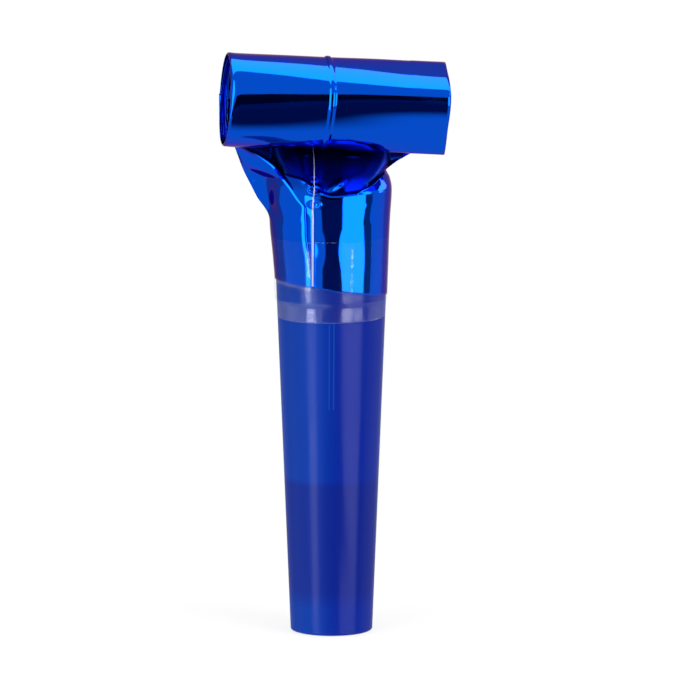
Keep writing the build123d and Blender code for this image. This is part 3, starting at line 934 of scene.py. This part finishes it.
def roll_point(u, v):
    """Point of the rolled film."""
    turn = roll_turn(u)
    turns = turn / (2 * pi)
    x = roll_across(v)
    radius = roll_height(turn, x)
    setback = INNER_SETBACK * smooth(*INNER_SETBACK_TURNS, turns)
    setback += TURN_WANDER * sin(0.7 * turn) * smooth(*TURN_WANDER_TURNS, turns)
    x *= 1 - setback / ROLL_HALF
    trim = RIGHT_TRIM + RIGHT_TRIM_TOP * sin(turn) - RIGHT_TRIM_FRONT * cos(turn)
    x -= trim * max(x, 0.0) / ROLL_HALF
    return from_roll(x, radius * cos(turn), radius * sin(turn))


def roll_strip_point(u, v):
    """Point of the spring strip wound inside the film."""
    turn = roll_turn(u)
    x = RIDGE_X + STRIP_HALF * (2 * v - 1)
    radius = roll_height(turn, x) - FILM_WALL / 3
    return from_roll(x, radius * cos(turn), radius * sin(turn))


def run_strip_point(u, v):
    """Point of the spring strip in the flat run and the lead."""
    return from_roll(RIDGE_X + STRIP_HALF * (2 * u - 1), LEAD_BACK, mix(RUN_LOW, 0, v))


def seam_point(u, v):
    """Point of the pale cut edge along the film's lap seam."""
    z = mix(FILM_LOW + SEAM_START, SEAM_TOP_Z, v)
    x = seam_x(z)
    y = front_wall(x, z) + wall_detail(x, z, panel_point(1, z).x, curve_at(RIGHT_FOLD, z)[0])
    width = SEAM_WIDTH * mix(1.0, SEAM_TOP_SHARE, smooth(*SEAM_NARROW_HEIGHTS, z))
    return settle(Vector((x + width * (u - 0.5), y - SEAM_PROUD)), z)


def tape_end():
    """Angle of the tape's end to the right of the front."""
    return TAPE_END_X / cone_radius(TAPE_END_Z)


def tape_point(u, v):
    """Point of the joint tape, which starts under its own end at the front and laps over itself."""
    length = 2 * pi + TAPE_LAP
    turn = 1.5 * pi + tape_end() - length * (1 - u)
    z = mix(TAPE_LOW, TAPE_HIGH, v)
    over_film = FILM_LIFT + TAPE_OVER_FILM + pleat_lift(turn % (2 * pi), z, PLEAT_FALL_UNDER_TAPE)
    lift = mix(TAPE_LIFT, over_film, smooth(TAPE_STEP - TAPE_STEP_HALF, TAPE_STEP + TAPE_STEP_HALF, z))
    lift += TAPE_LAP_LIFT * smooth(-0.02, 0, u - 2 * pi / length)
    sag = TAPE_SAG * sin(turn + 0.4) * (1 - smooth(TAPE_LOW, TAPE_STEP + 1, z))
    flat = heading(turn) * (cone_radius(z) + lift)
    return flat.x, flat.y, z + sag


def tape_haze(x, y, z):
    """Sheen of the tape at a place: most on its foot and hardly any on the film."""
    film_edge = FILM_LOW - x * tan(FILM_SKEW)
    azimuth = degrees(atan2(x, -y))
    foot = SHEEN_FOOT * (1 - smooth(TAPE_STEP - 0.7, TAPE_STEP - 0.2, z))
    gap = mix(SHEEN_GAP_LEFT, SHEEN_GAP_RIGHT, smooth(-12, 2, azimuth))
    gap *= 1 - window(*GAP_CLEAR_FACINGS, azimuth)
    gap *= window(TAPE_STEP - 0.3, TAPE_STEP + 0.3, film_edge - 0.2, film_edge + 0.5, z)
    edge = SHEEN_FILM_EDGE * window(*FILM_EDGE_FACINGS, azimuth) * bell(film_edge - 0.2, 0.35, z)
    pocket = SHEEN_POCKET * window(*POCKET_FACINGS, azimuth) * window(*POCKET_HEIGHTS, z)
    step = SHEEN_STEP * bell(TAPE_STEP, 0.3, z)
    top_line = smooth(TAPE_HIGH - 0.3, TAPE_HIGH, z) * window(*TOP_LINE_FACINGS, azimuth)
    end_line = bell(degrees(tape_end()), END_LINE_HALF, azimuth) * smooth(film_edge, film_edge + 1, z)
    dots = SHEEN_DOTS * smooth(0, 0.2, noise.noise(Vector((x, y, z)) / DOT_SIZE)) * (top_line + end_line)
    return SHEEN_ON_FILM + foot + gap + edge + pocket + step + dots


def dress(node, material):
    """Gives a shown node its finish."""
    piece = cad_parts[node]
    piece.data.materials.clear()
    piece.data.materials.append(material)


def dress_frame():
    """Finishes of the nodes whose own shape is right."""
    dress("mouthpiece", moulded_blue_polystyrene())
    dress("reed_holder", plain_satin_plastic("moulded_navy_polythene", "#0B1B58"))
    dress("reed_clip", plain_satin_plastic("moulded_white_polythene", "#D5D8DC"))
    dress("reed_tongue", plain_satin_plastic("cut_polyester_tongue", "#C9D2DE"))
    dress("spring_tail", plain_satin_plastic("curled_polystyrene_strip", "#C7CDE6"))


def stretch(piece):
    """Bakes a piece's placement into its points."""
    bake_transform(piece)


def flatten(piece):
    """Hangs a rolled piece on the roll's body, with a mesh of its own."""
    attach(piece, "roll")
    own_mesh(piece)


def build_sleeve(film):
    """Film collar, throat, flat run and lead as one gathered sleeve."""
    sleeve = laid_grid("film_sleeve", SLEEVE_COLUMNS, SLEEVE_ROWS, sleeve_point, SLEEVE_WALL, film)
    # Painted shade of the throat's wall, for the film's material to read
    paint(sleeve, "shade_and_blur", film_wall_shade)
    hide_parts("foil_collar", "foil_throat", "foil_run", "foil_lead")
    stretch(sleeve)


def build_roll(film):
    """Seven turns of the film tube."""
    roll = laid_grid("film_roll", ROLL_STEPS, ROLL_ROWS, roll_point, FILM_WALL, film)
    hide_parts("foil_roll")
    flatten(roll)


def build_spring():
    """Spring strip in the flat run, and wound inside the roll."""
    plastic = plain_satin_plastic("rolled_polystyrene_strip", "#C7CDE6")
    run = laid_grid("spring_strip_run", 2, 24, run_strip_point, STRIP_WALL, plastic)
    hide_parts("spring_run", "spring_lead")
    stretch(run)
    wound = laid_grid("spring_strip_roll", ROLL_STEPS, 2, roll_strip_point, STRIP_WALL, plastic)
    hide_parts("spring_roll")
    flatten(wound)


def build_seam():
    """Pale cut edge of the film's lap seam, down the front."""
    seam = laid_grid("film_lap_edge", 3, 140, seam_point, SEAM_WALL, bare_film_edge())
    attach(seam, "horn")


def build_tape():
    """Clear tape that holds the film on the mouthpiece."""
    tape = laid_grid("joint_tape_wrap", 220, 48, tape_point, TAPE_WALL, clear_parcel_tape())
    paint(tape, "haze", tape_haze)
    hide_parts("joint_tape")
    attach(tape, "horn")


def outward(azimuth, elevation=0):
    """Unit vector away from the object, by degrees from the front to the right and upward."""
    a = radians(azimuth)
    e = radians(elevation)
    return Vector((sin(a) * cos(e), -cos(a) * cos(e), sin(e)))


def add_card(name, centre, facing, width, height, strength, fade=0.001, colour="#FFFFFF"):
    """Studio card or flag that only reflections see."""
    deselect_all()
    bpy.ops.mesh.primitive_plane_add(size=1)
    card = bpy.context.object
    card.name = name
    normal = Vector(facing).normalized()
    upward = Vector((-centre[0], -centre[1], 0)) if abs(normal.z) > 0.9 else Vector((0, 0, 1))
    side = upward.cross(normal).normalized()
    turned = Matrix((side, normal.cross(side), normal)).transposed().to_4x4()
    card.matrix_world = Matrix.Translation(centre) @ turned @ Matrix.Diagonal((width, height, 1, 1))
    card.data.materials.append(card_glow(name, strength, fade, colour))
    card.visible_camera = False
    card.visible_diffuse = False
    card.visible_transmission = False
    card.visible_shadow = False


def build_lamps():
    """Soft lamps at a plain level, which the film doesn't mirror."""
    for name, azimuth, elevation, size, power in LAMPS:
        lamp = bpy.data.lights.new(name, "AREA")
        lamp.energy = power
        lamp.size = size
        holder = bpy.data.objects.new(name, lamp)
        bpy.context.scene.collection.objects.link(holder)
        away = outward(azimuth, elevation)
        holder.location = away * LAMP_DISTANCE + STUDIO_CENTRE
        holder.rotation_euler = away.to_track_quat("Z", "Y").to_euler()
        holder.visible_glossy = False


def build_cards():
    """Lit cards and dark flags that the film mirrors."""
    for name, azimuth, half_angle, foot, height, strength in CARDS_AROUND:
        centre = outward(azimuth) * CARD_DISTANCE + STUDIO_CENTRE + Vector((0, 0, foot + height / 2))
        width = 2 * CARD_DISTANCE * tan(radians(half_angle))
        add_card(name, centre, -outward(azimuth), width, height, strength)
    for card in CARDS_PLACED:
        add_card(*card)
    for flag in FLAGS:
        add_card(*flag, colour=FLAG_TINT)


def build_floor():
    """Round white table under the object."""
    deselect_all()
    bpy.ops.mesh.primitive_circle_add(
        vertices=96, radius=FLOOR_RADIUS, fill_type="NGON", location=(0, 0, -FLOOR_DROP))
    floor = bpy.context.object
    floor.name = "floor"
    floor.visible_glossy = False
    floor.data.materials.append(matt_white_table())


def build_world():
    """White background, dimmer as a light on matt surfaces than as what is seen or mirrored."""
    world = bpy.data.worlds.new("white_studio")
    bpy.context.scene.world = world
    world.use_nodes = True
    tree = world.node_tree
    tree.nodes.clear()
    path = add_node(tree, "ShaderNodeLightPath")
    seen = add_node(tree, "ShaderNodeMath", {
        0: path.outputs["Is Camera Ray"], 1: path.outputs["Is Glossy Ray"]}, operation="MAXIMUM")
    seen = add_node(tree, "ShaderNodeMath", {
        0: seen.outputs[0], 1: path.outputs["Is Transmission Ray"]}, operation="MAXIMUM")
    strength = add_node(tree, "ShaderNodeMapRange", {
        "Value": seen.outputs[0], "To Min": 0.45, "To Max": 1.0})
    sky = add_node(tree, "ShaderNodeBackground", {
        "Color": to_linear("#FFFFFF"), "Strength": strength.outputs["Result"]})
    output = add_node(tree, "ShaderNodeOutputWorld")
    tree.links.new(sky.outputs["Background"], output.inputs["Surface"])


def build_camera():
    """Camera at the photograph's view."""
    data = bpy.data.cameras.new("photo_view")
    camera = bpy.data.objects.new("photo_view", data)
    bpy.context.scene.collection.objects.link(camera)
    back = outward(VIEW_AZIMUTH, VIEW_ELEVATION)
    camera.location = (Vector(VIEW_AIM) + back * VIEW_DISTANCE) * MM
    camera.rotation_mode = "QUATERNION"
    camera.rotation_quaternion = (-back).to_track_quat("-Z", "Y")
    data.lens = VIEW_LENS
    data.sensor_width = VIEW_SENSOR
    data.clip_end = 10.0
    bpy.context.scene.camera = camera


bpy.context.scene.view_settings.view_transform = "Standard"
deselect_all()
dyed_film = dyed_metallised_film()
dress_frame()
build_sleeve(dyed_film)
build_roll(dyed_film)
build_spring()
build_seam()
build_tape()
build_lamps()
build_cards()
build_floor()
build_world()
build_camera()
